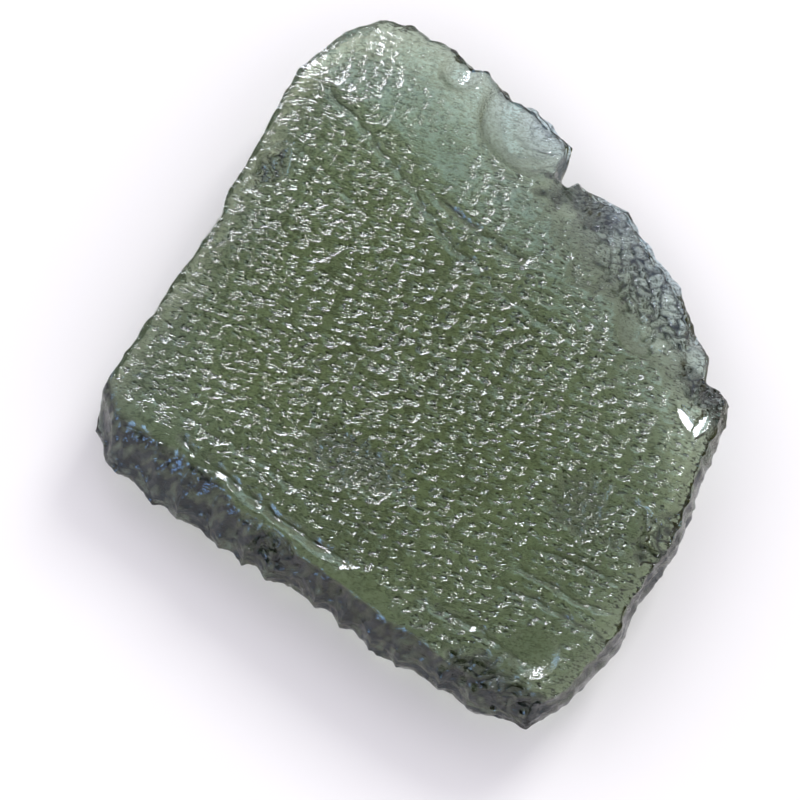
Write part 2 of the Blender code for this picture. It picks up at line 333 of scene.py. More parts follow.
# %% List of the creases
CREASES = [
    # points in plan, depth, width on the upper side and on the lower side, painted shade on the
    # steep side
    ([(-11.3, -4.5), (-7.2, -7.9), (-3.2, -10.8)], 0.22, 0.22, 0.38, 1.0),
    ([(-4.1, 13.9), (-2.0, 11.4), (0.2, 8.4), (1.7, 6.0), (3.3, 4.4)], 0.13, 0.13, 0.25, 0.9),
    ([(1.5, 8.1), (3.5, 6.3), (5.7, 4.7)], 0.16, 0.12, 0.35, 1.0),
    ([(2.2, 5.5), (4.4, 3.1), (7.9, 0.4)], 0.10, 0.13, 0.25, 0.5),
    ([(-5.6, 10.8), (-3.6, 8.6), (-2.5, 7.4)], 0.06, 0.13, 0.22, 0.4),
    ([(4.4, -12.0), (7.2, -13.4), (9.7, -15.0)], 0.14, 0.12, 0.18, 1.0),
    ([(5.3, -11.1), (7.4, -12.4), (9.2, -13.3)], 0.12, 0.12, 0.16, 0.9),
    ([(6.3, -10.3), (8.3, -11.0), (9.9, -12.0)], 0.10, 0.12, 0.16, 0.9),
    ([(0.4, -12.6), (3.2, -14.0), (5.2, -15.6)], 0.12, 0.14, 0.3, 0.7),
    ([(-13.2, -2.0), (-9.0, -4.6), (-5.5, -7.0)], 0.06, 0.13, 0.25, 0.4),
    ([(10.7, -7.6), (11.5, -8.6), (11.2, -9.8)], 0.34, 0.14, 0.22, 1.0),
    ([(10.9, -9.9), (12.1, -10.4), (12.6, -11.6)], 0.34, 0.14, 0.22, 1.0),
    ([(5.4, 11.9), (6.2, 11.5), (7.5, 11.2)], 0.14, 0.12, 0.12, 1.0),
    ([(5.2, 10.8), (6.0, 10.7), (6.9, 10.9)], 0.10, 0.11, 0.14, 0.7),
    ([(5.9, 9.8), (6.7, 10.1), (7.3, 10.5)], 0.12, 0.11, 0.14, 0.9),
    ([(4.5, 12.7), (4.8, 11.3), (5.5, 9.8)], 0.05, 0.14, 0.30, 0.5),
    ([(3.8, 12.9), (3.6, 11.2), (4.3, 9.8), (5.9, 9.0)], 0.12, 0.12, 0.14, 0.7),
    ([(6.3, 8.5), (7.0, 8.7), (8.0, 8.9)], 0.05, 0.50, 0.45, 0.95),
]
print(len(CREASES), "creases")

# %% Cut the creases
CREASE_WANDER = 0.12
CREASE_RUN_OUT = 0.5
CREASE_RUN_IN = 0.3


def crease_line(x, y, start, end, steep, gentle, number):
    """How much of a point lies in one straight piece of a crease, and its way beside it."""
    along, beside = beside_line(x, y, start, end)
    length = np.linalg.norm(end - start)
    beside = beside + CREASE_WANDER * lumps(along / 0.9, along * 0.0, 11 + number)
    ends = soft_step(-CREASE_RUN_OUT, CREASE_RUN_IN, along)
    ends = ends * soft_step(length + CREASE_RUN_OUT, length - CREASE_RUN_IN, along)
    beads = 0.75 + 0.35 * lumps(x / 0.45, y / 0.45, 40 + number)
    width = np.where(beside > 0.0, steep, gentle)
    return ends * beads * np.exp(-((beside / width) ** 2)), beside


def creases(x, y):
    """Depth of the creases, and the painted shade on their steep side."""
    cut = np.zeros(np.shape(x))
    painted_shade = np.zeros(np.shape(x))
    for number, (points, depth, steep, gentle, dark) in enumerate(CREASES):
        points = [np.array(point) for point in points]
        for start, end in zip(points, points[1:]):
            line, beside = crease_line(x, y, start, end, steep, gentle, number)
            cut = np.maximum(cut, depth * line)
            steep_side = soft_step(-0.2 - 0.5 * gentle, 0.0, beside)
            # painted shade along the steep side of each crease
            painted_shade = np.maximum(painted_shade, dark * line * steep_side)
    return cut, painted_shade


# %% [markdown]
# ## Bruised zones
# Where the stone was struck, and all along its broken right-hand edge, the glass is crushed
# into small cells, and the lines between them are painted dark as painted shade. Some zones
# are darkened all over. Each zone is a ragged oval that is filled with a net of scattered
# centres. Every cell is also tilted its own way, so some cells look bright and their neighbours
# dark.

# %% List of the bruised zones
BRUISED_ZONES = [
    # x, y, half length, half width, turn of the length, cell size, crack depth, darkening all over
    (12.1, 4.2, 5.8, 2.6, -62.0, 0.58, 0.36, 0.08),
    (9.1, 8.3, 3.1, 1.5, -25.0, 0.36, 0.26, 0.85),
    (10.2, 5.6, 4.2, 2.6, -55.0, 0.50, 0.14, 0.1),
    (-3.0, -5.6, 3.4, 1.5, -35.0, 0.50, 0.16, 0.35),
    (8.2, -8.0, 2.6, 1.6, -50.0, 0.55, 0.16, 0.35),
    (11.8, -9.9, 1.9, 1.0, 50.0, 0.80, 0.25, 0.2),
    (-7.2, -9.9, 1.7, 1.0, -35.0, 0.70, 0.35, 0.9),
    (14.5, -1.8, 1.7, 1.0, -60.0, 0.50, 0.35, 0.8),
    (-7.0, 9.9, 1.4, 0.8, 57.0, 0.50, 0.30, 0.3),
    (4.2, -16.9, 4.2, 1.2, -33.0, 0.60, 0.30, 0.9),
    (7.4, 12.6, 1.5, 1.1, 0.0, 0.75, 0.10, 0.0),
]
print(len(BRUISED_ZONES), "bruised zones")

# %% Crack the bruised zones
ZONE_FADE = 0.45
CELL_LENGTH = 1.15
CELL_WIDTH = 0.75
CRACK_EDGE = 0.08
CRACK_WIDTH = 0.26
FACET_MEAN = 0.4
FACET_TILT = 0.9
LEAN_SPREAD = 40.0


def in_zone(x, y, zone):
    """How much of a point lies in the ragged oval of a zone."""
    zone_x, zone_y, long, wide, turn = zone[:5]
    along, across = turned(x - zone_x, y - zone_y, turn)
    inside = 1.0 - np.hypot(along / long, across / wide)
    ragged = 0.35 * lumps(x / 0.9, y / 0.7, 76) + 0.2 * lumps(x / 0.35, y / 0.3, 77)
    return soft_step(0.0, ZONE_FADE, inside + ragged)


def cracked(x, y):
    """How deep the cracks of the bruised zones cut, and how dark they are painted: painted shade
    along the crack lines, and in some zones a darkening all over.
    """
    cut = np.zeros(np.shape(x))
    painted_shade = np.zeros(np.shape(x))
    bent_x = x + 0.3 * lumps(x / 0.6, y / 0.5, 74)
    bent_y = y + 0.3 * lumps(x / 0.6, y / 0.5, 75)
    for number, zone in enumerate(BRUISED_ZONES):
        cell, depth, zone_darkening = zone[5:]
        share = in_zone(x, y, zone)
        near, after, own, off_x, off_y = scattered(
            bent_x / (cell * CELL_LENGTH), bent_y / (cell * CELL_WIDTH), 71 + number
        )
        lean = LEAN_SPREAD * own
        facet = FACET_MEAN + FACET_TILT * (off_x * np.cos(lean) + off_y * np.sin(lean))
        line = 1.0 - soft_step(CRACK_EDGE, CRACK_EDGE + CRACK_WIDTH / cell, after - near)
        cut = np.maximum(cut, share * depth * (line + np.maximum(facet, 0.0) * (1.0 - line)))
        # painted shade along the crack lines, darker in deeper cracks; some zones are also darkened
        # all over
        painted_shade = np.maximum(painted_shade, share * np.maximum(line * min(1.0, 4.0 * depth), zone_darkening))
    return cut, painted_shade


# %% [markdown]
# ## Chips
# Glass breaks in shell-shaped bowls, often with fine ripples. A boolean with a scaled sphere
# would cut such a bowl, but a minimum of two heights does the same on a height field, and
# keeps the grid. It leaves the sharp rim that real chips have. The large chip at the upper
# right is two bowls, one in the other, in glass that is thin already, so it looks pale.

# %% Take the chips away
CHIPS = [
    # x, y, rim radius, depth, steepness of the rim, spacing of ripples, ripple height
    (6.9, 12.75, 3.45, 0.85, 6.0, 0.0, 0.0),
    (7.7, 12.3, 2.3, 0.75, 3.0, 0.40, 0.07),
    (2.6, 15.2, 0.95, 0.28, 4.0, 0.0, 0.0),
    (11.7, 1.3, 1.25, 0.30, 3.0, 0.26, 0.018),
    (5.8, -15.4, 1.3, 0.2, 3.0, 0.0, 0.0),
]
RIM_BAND = 0.4
CHIP_REACH = 1.3
RIPPLE_CENTRE = 6.0
FRESH_DEPTH = 0.06


def chip_bowls(x, y, height):
    """The height after the chips are taken away, and how much of a point is fresh break."""
    fresh = np.zeros(np.shape(x))
    for chip_x, chip_y, radius, depth, steepness, spacing, ripple in CHIPS:
        away = distance(x, y, (chip_x, chip_y))
        rim_height = np.median(height[np.abs(away - radius) < RIM_BAND])
        bowl = rim_height - depth * (1.0 - (away / radius) ** steepness)
        if spacing:
            from_centre = np.hypot(x - chip_x, y - chip_y - RIPPLE_CENTRE)
            bent = from_centre + 0.3 * lumps(x / 0.8, y / 0.8, 91)
            bowl = bowl + ripple * np.sin(2.0 * math.pi * bent / spacing)
        reached = away < radius * CHIP_REACH
        fresh = np.maximum(fresh, soft_step(0.0, FRESH_DEPTH, height - bowl) * reached)
        height = np.where(reached, np.minimum(height, bowl), height)
    return height, fresh


print(len(CHIPS), "bowls, the widest", 2.0 * max(chip[2] for chip in CHIPS), "mm wide")

# %% [markdown]
# ## Pits
# Ground water etched the face into small oval pits that all lie one way, about half a
# millimetre apart, and they are what makes the face glitter. A bump map would glitter too,
# but its pits would vanish in a side view, so they are real bowls in the mesh. Stretching
# the plane before the centres are scattered makes the bowls oval. They are deeper in some
# flow streaks than in others.

# %% Oval pits in streaks
PIT_TURN = -20.0
PIT_PITCH = 0.46
PIT_STRETCH = 1.6
PIT_RADIUS = 0.48
PIT_DEPTH = 0.05
PIT_SEED = 41
FLOW_TURN = -37.0
FLOW_RELIEF = 0.015


def pit_bowls(x, y):
    """Depth of the oval pits, and how much of a point is pit."""
    bend = 0.25 * lumps(x / 3.0, y / 3.0, PIT_SEED + 1)
    along, across = turned(x, y, PIT_TURN)
    near, _, own, _, _ = scattered(
        (along + bend) / (PIT_PITCH * PIT_STRETCH), (across + bend) / PIT_PITCH, PIT_SEED
    )
    bowl = np.clip(1.0 - (near / PIT_RADIUS) ** 2, 0.0, 1.0)
    return PIT_DEPTH * (0.5 + 0.5 * own) * bowl, bowl


def flow_streaks(x, y):
    """How deep the pits are in the streaks of the face, around 1."""
    along, across = turned(x, y, FLOW_TURN)
    broad = lumps(along / 6.0, across / 1.3, 21)
    fine = lumps(along / 2.5, across / 0.55, 22)
    return np.clip(1.0 + 0.35 * broad + 0.3 * fine, 0.45, 1.1)


print("pits are", PIT_PITCH, "by", round(PIT_PITCH * PIT_STRETCH, 2), "mm apart")

# %% [markdown]
# The strip between the groove and the bevel is nearly smooth. Towards the right the pits are
# a little deeper, towards the top shallower.

# %% Where the pits are calm
CALM_STRENGTH = 0.8
CALM_ABOVE = (0.2, -0.3)
CALM_BELOW = (-1.9, -1.2)
CALM_END_X = -1.0
DEEPER_PER_X = 0.02
SHALLOWER_PER_Y = 0.03


def pit_strength(x, y, fresh):
    """How deep the pits are at each point: none on a fresh break, few beside the groove."""
    groove = [np.array(point) for point in CREASES[0][0]]
    _, from_groove = beside_line(x, y, groove[0], groove[-1])
    calm = soft_step(*CALM_ABOVE, from_groove) * soft_step(*CALM_BELOW, from_groove)
    calm = calm * (x < CALM_END_X)
    trend = 1.0 + DEEPER_PER_X * np.maximum(x, 0.0) - SHALLOWER_PER_Y * np.maximum(y, 0.0)
    return (1.0 - fresh) * (1.0 - CALM_STRENGTH * calm) * flow_streaks(x, y) * trend


# %% [markdown]
# Near the right-hand corner two small facets mirror the main lamp as a bright white mark.
# They are flat cuts that face about half-way between the camera and that lamp.

# %% Two bright facets
FACETS = [
    # x, y, half length, half width, turn, depth
    (14.2, -3.9, 0.85, 0.30, 55.0, 0.16),
    (13.5, -3.7, 1.0, 0.30, -65.0, 0.14),
]
FACET_SLOPE = (0.09, -0.184)
FACET_FADE = (1.15, 0.9)


def cut_facets(x, y, height):
    """The height after the facets are cut, and how much of a point is none of them."""
    kept = np.ones(np.shape(x))
    for facet_x, facet_y, long, wide, turn, depth in FACETS:
        along, across = turned(x - facet_x, y - facet_y, turn)
        inside = np.hypot(along / long, across / wide)
        level = np.median(height[inside < 1.0]) - depth
        plane = level + FACET_SLOPE[0] * (x - facet_x) + FACET_SLOPE[1] * (y - facet_y)
        share = soft_step(*FACET_FADE, inside)
        height = height + (np.minimum(height, plane) - height) * share
        kept = kept * (1.0 - share)
    return height, kept


# %% [markdown]
# Now the rules of the face are added up. Besides the height the face gives two numbers for
# the glass: how etched a point is, from smooth breaks to pits and cracks, and how dark it is
# painted, as painted shade in creases, crack lines and the bevel, and as a darkening of some
# bruised zones.

# %% Put the upper face together
PIT_ETCHING = 2.5
CRACK_ETCHING_DEPTHS = (0.02, 0.12)
BEVEL_ETCHING = 0.5
BREAK_ETCHING = 0.3
BEVEL_SHADE_MOTTLE = 0.25


def upper_face(x, y, from_lower_left):
    """Height of the upper face, how etched it is, and how dark it is painted."""
    height, fresh = chip_bowls(x, y, upper_slopes(x, y))
    crease, crease_shade = creases(x, y)
    drop, bevel = bevel_drop(x, from_lower_left)
    cut, painted_shade = cracked(x, y)
    height = height - crease - cut - drop + BEVEL_BUMP * bevel * bevel_bumps(x, y)
    along, across = turned(x, y, FLOW_TURN)
    height += FLOW_RELIEF * lumps(along / 4.0, across / 0.9, 31) * (1.0 - fresh)
    height, kept = cut_facets(x, y, height)
    strength = pit_strength(x, y, fresh) * kept
    pits, bowl = pit_bowls(x, y)
    # painted shade on the bevel, broken up by a mottle
    shade_mottled = 1.0 + BEVEL_SHADE_MOTTLE * np.minimum(lumps(x / 0.3, y / 0.2, 83), 0.0)
    # painted shade: crack lines, the steep side of creases and the bevel; the darkening of some
    # bruised zones joins it
    painted_shade = np.maximum(np.maximum(painted_shade * kept, crease_shade), bevel * shade_mottled)
    etched = np.clip(PIT_ETCHING * bowl, 0.0, 1.0) * strength
    etched = np.maximum(etched, soft_step(*CRACK_ETCHING_DEPTHS, cut))
    etched = np.maximum(etched, np.maximum(BEVEL_ETCHING * bevel, BREAK_ETCHING * fresh))
    return height - pits * strength, etched, painted_shade


# %% [markdown]
# ## The underside
# The underside is level only where the stone rests, and rises a little around that oval. It
# carries broader bowls than the face. Towards the thin upper-right edge it rises further,
# like a feather edge, but less beside the notch: a steep slope there would mirror light from
# deep inside the stone and leave a brown spot.

# %% Shape of the underside
REST_CENTRE = (0.4, -1.0)
REST_HALF_LENGTH = 5.6
REST_HALF_WIDTH = 4.6
BELLY_RISE = 0.009
BELLY_LIMIT = 0.5
BELLY_LUMP = 0.15
BELLY_FADE = 3.0
BELLY_BOWL = 0.10


def underside(x, y):
    """Height of the lower face, before its feather edges."""
    off_x = x - REST_CENTRE[0]
    off_y = y - REST_CENTRE[1]
    wide = (off_x + off_y) / math.sqrt(2.0)
    long = (off_y - off_x) / math.sqrt(2.0)
    share = np.hypot(wide / REST_HALF_WIDTH, long / REST_HALF_LENGTH)
    beyond = np.maximum(share - 1.0, 0.0) * REST_HALF_LENGTH
    rise = np.minimum(BELLY_RISE * beyond * beyond, BELLY_LIMIT)
    uneven = BELLY_LUMP * soft_step(0.0, BELLY_FADE, beyond) * (1.0 + lumps(x / 2.6, y / 2.6, 51))
    near, _, own, _, _ = scattered(x / 1.3 + 0.4 * y, y / 1.1, 52)
    bowls = BELLY_BOWL * (0.4 + 0.6 * own) * np.clip(1.0 - (near / 0.75) ** 2, 0.0, 1.0)
    return rise + uneven + bowls


# %% Feather edges
FEATHERS = {
    # how far the underside rises at a side, over what width
    "upper_left": (0.1, 2.0),
    "upper_right": (1.7, 7.0),
}
LEFT_CORNER = (-15.6, -3.3)
LEFT_CORNER_REACH = 9.0
TOP_CORNER = (-1.6, 18.1)
TOP_CORNER_SHARE = 0.3
TOP_CORNER_REACH = (1.0, 7.0)
NOTCH = (7.0, 9.6)
NOTCH_LESS = 0.7
NOTCH_REACH = (3.5, 0.5)


def feather_edges(x, y, away_from_sides):
    """How far the underside rises towards its thin sides."""
    rise_here = np.zeros(np.shape(x))
    for name, (rise, width) in FEATHERS.items():
        share = np.clip(1.0 - away_from_sides[name] / width, 0.0, 1.0)
        rise_here = np.maximum(rise_here, rise * share ** 2)
    rise_here = rise_here * soft_step(0.0, LEFT_CORNER_REACH, distance(x, y, LEFT_CORNER))
    at_notch = soft_step(*NOTCH_REACH, distance(x, y, NOTCH))
    rise_here = rise_here * (1.0 - NOTCH_LESS * at_notch)
    past_top = soft_step(*TOP_CORNER_REACH, distance(x, y, TOP_CORNER))
    return rise_here * (TOP_CORNER_SHARE + (1.0 - TOP_CORNER_SHARE) * past_top)


print("underside rises up to", FEATHERS["upper_right"][0], "mm at the upper-right edge")

# %% [markdown]
# ## The walls
# The walls stand between the two rims. The two lower walls lean in towards the foot. The two
# upper ones flare out instead, so that the camera doesn't see them through the glass. On the
# lower left, flutes run up the wall between sharp teeth: each flute is half a sine wave, and
# two neighbours meet in a tooth. Everywhere else the wall is an uneven break.

# %% Wall profiles and flutes
WALLS = {
    # rim inset, foot inset, share of the height where the wall is widest, shoulder drop
    "lower_left": (0.3, 0.6, 0.5, 0.15),
    "lower_right": (0.3, 0.8, 0.4, 0.2),
    "upper_left": (0.05, -0.55, 0.95, 0.0),
    "upper_right": (0.05, -0.35, 0.95, 0.08),
}
FLUTE_TEETH = [0.0, 2.6, 4.9, 6.3, 8.9, 10.4, 11.8, 14.6, 16.2, 18.0, 19.6, 21.9, 23.6, 26.6]
FLUTE_DEPTHS = [0.15, 0.28, 0.35, 0.28, 0.42, 0.45, 0.4, 0.46, 0.38, 0.28, 0.36, 0.32, 0.16]
FLUTE_LEAN = 0.8
FLARE_FADE = 0.15


def fluting(share):
    """How far the lower-left wall is cut in by its flutes."""
    place = share * lower_left.length
    cut = np.zeros(np.shape(share))
    for start, end, depth in zip(FLUTE_TEETH, FLUTE_TEETH[1:], FLUTE_DEPTHS):
        inside = np.clip((place - start) / (end - start), 0.0, 1.0)
        cut += depth * np.sin(math.pi * inside ** FLUTE_LEAN)
    return cut


print(len(FLUTE_DEPTHS), "flutes")


# %% [markdown]
# Three sizes of lumps roughen the walls, so that no wall mirrors the room as one flat band.
# The lumps of the upper-left wall grow towards its foot. A wall then stands out by its
# roughness, less its insets at the foot and at the rim, and less its flutes.

# %% Roughness and push of the walls
# how far the lumps stand out, their length along the wall and up it, seed
LOW_LUMPS = [(0.09, 1.3, 1.4, 61), (0.05, 0.5, 0.4, 62), (0.025, 0.25, 0.25, 64)]
HIGH_LUMPS = [(0.10, 1.1, 0.8, 61), (0.08, 0.4, 0.35, 62), (0.04, 0.22, 0.25, 64)]
RIDGE_HEIGHT = 0.07
FOOT_CURVE = 1.2
FLUTE_AT_FOOT = 0.55
FLUTE_GAIN = 0.45


def wall_roughness(name, place, row, height):
    """How uneven a wall is at a place along it."""
    sizes = LOW_LUMPS if name == "upper_left" else HIGH_LUMPS
    rough = sum(out * lumps(place / long, height / high, seed) for out, long, high, seed in sizes)
    if name == "upper_left":
        return rough * (2.0 - row)
    if name != "lower_left":
        rough += RIDGE_HEIGHT * lumps(place / 0.55, row * 1.2, 63)
    return rough


def wall_push(name, side, share, row, height):
    """How far outwards a side's wall stands from the outline."""
    rim_inset, foot_inset, widest, _ = WALLS[name]
    foot = foot_inset * np.clip(1.0 - row / widest, 0.0, 1.0) ** FOOT_CURVE
    if foot_inset < 0.0:
        foot = foot * soft_step(0.0, FLARE_FADE, share) * soft_step(1.0, 1.0 - FLARE_FADE, share)
    rim = rim_inset * np.clip((row - widest) / (1.0 - widest), 0.0, 1.0) ** 2
    push = wall_roughness(name, share * side.length, row, height) - foot - rim
    if name == "lower_left":
        push = push - fluting(share) * (FLUTE_AT_FOOT + FLUTE_GAIN * row)
    return push


# %% [markdown]
# ## From a cube to the stone
# The mesh starts as a cube, which is closed and stays closed. Its edges are subdivided into
# a grid, and then everything except the underside is cut three times finer, because the
# face and the walls carry the detail. An even remesh would spend as many triangles on the
# hidden underside.

# %% Cut the cube into cells
COARSE_ALONG = 95
COARSE_ACROSS = 80
COARSE_ROWS = 6
FINER = 3
UNDERSIDE_ROWS = 0.9


def edges_along(block, axis):
    """The edges of a block that run along one axis."""
    return [e for e in block.edges if abs(e.verts[0].co[axis] - e.verts[1].co[axis]) > 1e-4]


def cut_block():
    """A unit cube cut into cells, fine ones above its lowest row."""
    block = bmesh.new()
    bmesh.ops.create_cube(block, size=1.0)
    for axis, cells in ((0, COARSE_ALONG), (1, COARSE_ACROSS), (2, COARSE_ROWS)):
        edges = edges_along(block, axis)
        bmesh.ops.subdivide_edges(block, edges=edges, cuts=cells - 1, use_grid_fill=True)
    foot_row = -0.5 + UNDERSIDE_ROWS / COARSE_ROWS
    fine = [e for e in block.edges if min(v.co.z for v in e.verts) > foot_row]
    bmesh.ops.subdivide_edges(block, edges=fine, cuts=FINER - 1, use_grid_fill=True)
    return block


block = cut_block()
print("block has", len(block.verts), "points and", len(block.faces), "faces")

# %% [markdown]
# Each point's place in the cube says where on the stone it belongs: along, across, and its
# row up the wall. First all points move in plan, onto the ruled patch, and near a side
# outwards or inwards with that side's wall.

# %% Move the points in plan
INSET_REACH = 1.6
cube = np.array([v.co[:] for v in block.verts]) + 0.5
u, v, row = cube.T
away_from_sides = {
    "lower_left": v * upper_left.length,
    "upper_right": (1.0 - v) * upper_left.length,
    "upper_left": u * lower_left.length,
    "lower_right": (1.0 - u) * lower_left.length,
}
sides = (
    ("lower_left", lower_left, u),
    ("upper_right", upper_right, u),
    ("upper_left", upper_left, v),
    ("lower_right", lower_right, v),
)
rough_height = row * CROWN_HEIGHT
moved = ruled_patch(u, v)
for name, side, share in sides:
    push = wall_push(name, side, share, row, rough_height)
    reach = soft_step(INSET_REACH, 0.0, away_from_sides[name])
    moved += side.outward(share) * (push * reach)[:, None]
x, y = moved.T
print("plan measures", np.round(moved.max(axis=0) - moved.min(axis=0), 2), "mm")

# %% [markdown]
# Then each point gets its height: the lowest row lies on the underside, the highest row on
# the upper face, and the rows of the wall lie between them. Where the glass would get too
# thin, the upper face gives way. Some thicknesses are printed, because the depth of the
# glass decides how pale each place will look.

# %% Lift the points to their height
SHOULDER_WIDTH = 0.8
THINNEST = 0.3
top, etched, painted_shade = upper_face(x, y, away_from_sides["lower_left"])
top -= np.max([WALLS[name][3] * soft_step(SHOULDER_WIDTH, 0.0, away_from_sides[name])
               for name, _, _ in sides], axis=0)
bottom = underside(x, y) + feather_edges(x, y, away_from_sides)
top = np.maximum(top, bottom + THINNEST)
height = bottom + (top - bottom) * row

# %% Measure the glass
SPOTS = {
    "top corner": (-1.6, 17.4),
    "chip": (6.5, 12.5),
    "broken edge": (12.5, 3.0),
    "middle": (0.0, 0.0),
    "left corner": (-14.0, -4.0),
    "right corner": (14.0, -3.0),
}
TOP_ROW = 0.999
FOOT_ROW = 0.001
for label, spot in SPOTS.items():
    nearest = np.argmin(distance(x, y, spot) + FAR_AWAY * (row < TOP_ROW))
    print(label, "is", round((top - bottom)[nearest], 2), "mm thick")

# %% [markdown]
# ## Etching and painted shade
# The real walls were never polished, and fine etching covers them. The two lower ones are
# painted nearly black, as painted shade. The two upper walls stay clearer, because much of the
# light inside the stone comes in through them. A thin dark line of painted shade also runs along
# both upper rims.

# %% Etching and painted shade on walls and rims
WALL_ETCHING = 0.6
WALL_SHADE_REACH = 3.0
WALL_SHADE_MOTTLE = 0.3
UNSHADED_CORNER = (15.6, -2.6)
UNSHADED_REACH = (1.5, 4.0)
NOTCH_WALL = (7.5, 10.2)
NOTCH_SHADE = 0.95
NOTCH_SHADE_REACH = (1.7, 0.9)
HOLLOW_SHADE = 0.4
HOLLOW_REACH = (3.0, 1.0)
UNDERSIDE_DARKENING = 0.05
RIM_SHADE_LINES = {
    # painted shade, where it starts and where it is full, measured from the rim
    "upper_left": (0.6, 0.55, 0.1),
    "upper_right": (0.75, 0.35, 0.05),
}


def wall_shade(x, y, height):
    """How dark the walls are painted, as painted shade: the lower walls, the walls at the notch and
    the hollows of the upper-left wall.
    """
    from_lower_left = away_from_sides["lower_left"]
    from_lower_right = away_from_sides["lower_right"]
    # painted shade: the lower walls dark except near the right-hand corner, the walls at the notch,
    # and hollows of the upper-left wall
    dark = soft_step(WALL_SHADE_REACH, 0.0, np.minimum(from_lower_left, from_lower_right))
    dark *= soft_step(*UNSHADED_REACH, distance(x, y, UNSHADED_CORNER))
    dark *= 1.0 + WALL_SHADE_MOTTLE * np.minimum(lumps((x - y) / 0.45, height / 0.35, 65), 0.0)
    at_notch = soft_step(*NOTCH_SHADE_REACH, distance(x, y, NOTCH_WALL))
    dark = np.maximum(dark, NOTCH_SHADE * at_notch)
    hollows = lumps((x + y) / 0.9, height / 0.7, 66)
    hollows += 0.6 * lumps((x + y) / 0.3, height / 0.3, 67)
    in_hollows = HOLLOW_SHADE * soft_step(0.0, 0.8, hollows)
    return np.maximum(dark, in_hollows * soft_step(*HOLLOW_REACH, away_from_sides["upper_left"]))


# painted shade: a thin dark line along each upper rim
for name, (dark, start, full) in RIM_SHADE_LINES.items():
    painted_shade = np.maximum(painted_shade, dark * soft_step(start, full, away_from_sides[name]))
# painted shade on the walls; the underside gets only a faint even darkening
below_rim = np.where(row > FOOT_ROW, wall_shade(x, y, rough_height), UNDERSIDE_DARKENING)
shade_paint = np.clip(np.where(row > TOP_ROW, painted_shade, below_rim), 0.0, 1.0)
etched = np.where(row > TOP_ROW, etched, WALL_ETCHING)
print("shaded share of the points:", round(float(np.mean(shade_paint > 0.5)), 2))

# %% [markdown]
# ## The stone's object
# The points are centred on the origin, turned into metres, and written back into the block.
# The two numbers, the etching and the painted shade, go into the mesh as attributes, which the
# glass can read. Smooth shading rounds off the small cells, but edges over 50 degrees stay
# sharp, such as the teeth and the rims of the breaks.

# %% Write the points back
places = np.stack([x, y, height], axis=1)
lowest = places.min(axis=0)
middle = (lowest + places.max(axis=0)) / 2.0
print("stone measures", np.round(places.max(axis=0) - lowest, 2), "mm")
places -= [middle[0], middle[1], lowest[2]]
for vert, place in zip(block.verts, places * MM):
    vert.co = place

# %% Make the stone's object
SHARP_FROM = math.radians(50.0)
stone_mesh = bpy.data.meshes.new("moldavite_glass")
block.to_mesh(stone_mesh)
block.free()
for label, values in (("etched", etched), ("shade_paint", shade_paint)):
    layer = stone_mesh.attributes.new(label, "FLOAT", "POINT")
    layer.data.foreach_set("value", values.astype(np.float32))
stone_mesh.shade_smooth()
stone_mesh.set_sharp_from_angle(angle=SHARP_FROM)
stone = bpy.data.objects.new("moldavite_glass", stone_mesh)
bpy.context.scene.collection.objects.link(stone)
stone_mesh.calc_loop_triangles()
print("stone has", len(stone_mesh.loop_triangles), "triangles")

# %% [markdown]
# ## Green glass
# The glass is clear. Its green could be a surface colour, but then a thin edge would be as
# dark as the middle. Instead light is absorbed on its way through the volume, so thick
# places turn deep olive and thin edges stay pale. The surface adds only what is too small
# for the mesh: fine etching, painted shade in short dark strokes of it and in places that the
# mesh marks, a darkening of some zones, and a satin finish.

# %% Small helpers for nodes
def map_range(nodes, source, target):
    """A node that maps the source range onto the target range."""
    step = nodes.new("ShaderNodeMapRange")
    step.inputs["From Min"].default_value = source[0]
    step.inputs["From Max"].default_value = source[1]
    step.inputs["To Min"].default_value = target[0]
    step.inputs["To Max"].default_value = target[1]
    return step


def attribute(nodes, name):
    """A node that reads one of the mesh's attributes."""
    reader = nodes.new("ShaderNodeAttribute")
    reader.attribute_name = name
    return reader


# %% [markdown]
# The etching is a fine noise, stretched nearly the way the pits lie. The same noise gives the
# bump and the dark strokes, which are painted shade: they lie in the hollows of the bump. The
# attribute "etched" says how strong both are. A painted picture could do this too, but a noise
# in the stone's own coordinates needs no unwrapping and shows no seam.

# %% Fine etching
ETCH_TURN = -17.0
ETCH_SCALE = 9500.0
ETCH_STRETCH = 2.4
ETCH_STRENGTH = (0.16, 1.0)
ETCH_DEPTH = 0.00005


def etching(material, place):
    """The fine noise, and how strong it is at a point."""
    nodes = material.node_tree.nodes
    links = material.node_tree.links
    lay = nodes.new("ShaderNodeMapping")
    lay.vector_type = "TEXTURE"
    lay.inputs["Rotation"].default_value = (0.0, 0.0, math.radians(ETCH_TURN))
    lay.inputs["Scale"].default_value = (ETCH_STRETCH, 1.0, 1.0)
    links.new(place, lay.inputs["Vector"])
    noise = nodes.new("ShaderNodeTexNoise")
    noise.inputs["Scale"].default_value = ETCH_SCALE
    noise.inputs["Detail"].default_value = 1.0
    links.new(lay.outputs["Vector"], noise.inputs["Vector"])
    strength = map_range(nodes, (0.0, 1.0), ETCH_STRENGTH)
    links.new(attribute(nodes, "etched").outputs["Fac"], strength.inputs["Value"])
    return noise.outputs["Fac"], strength.outputs["Result"]


def add_bump(material, noise, strength):
    """The etching as a bump."""
    nodes = material.node_tree.nodes
    links = material.node_tree.links
    bump = nodes.new("ShaderNodeBump")
    bump.inputs["Distance"].default_value = ETCH_DEPTH
    links.new(noise, bump.inputs["Height"])
    links.new(strength, bump.inputs["Strength"])
    links.new(bump.outputs["Normal"], nodes["Principled BSDF"].inputs["Normal"])


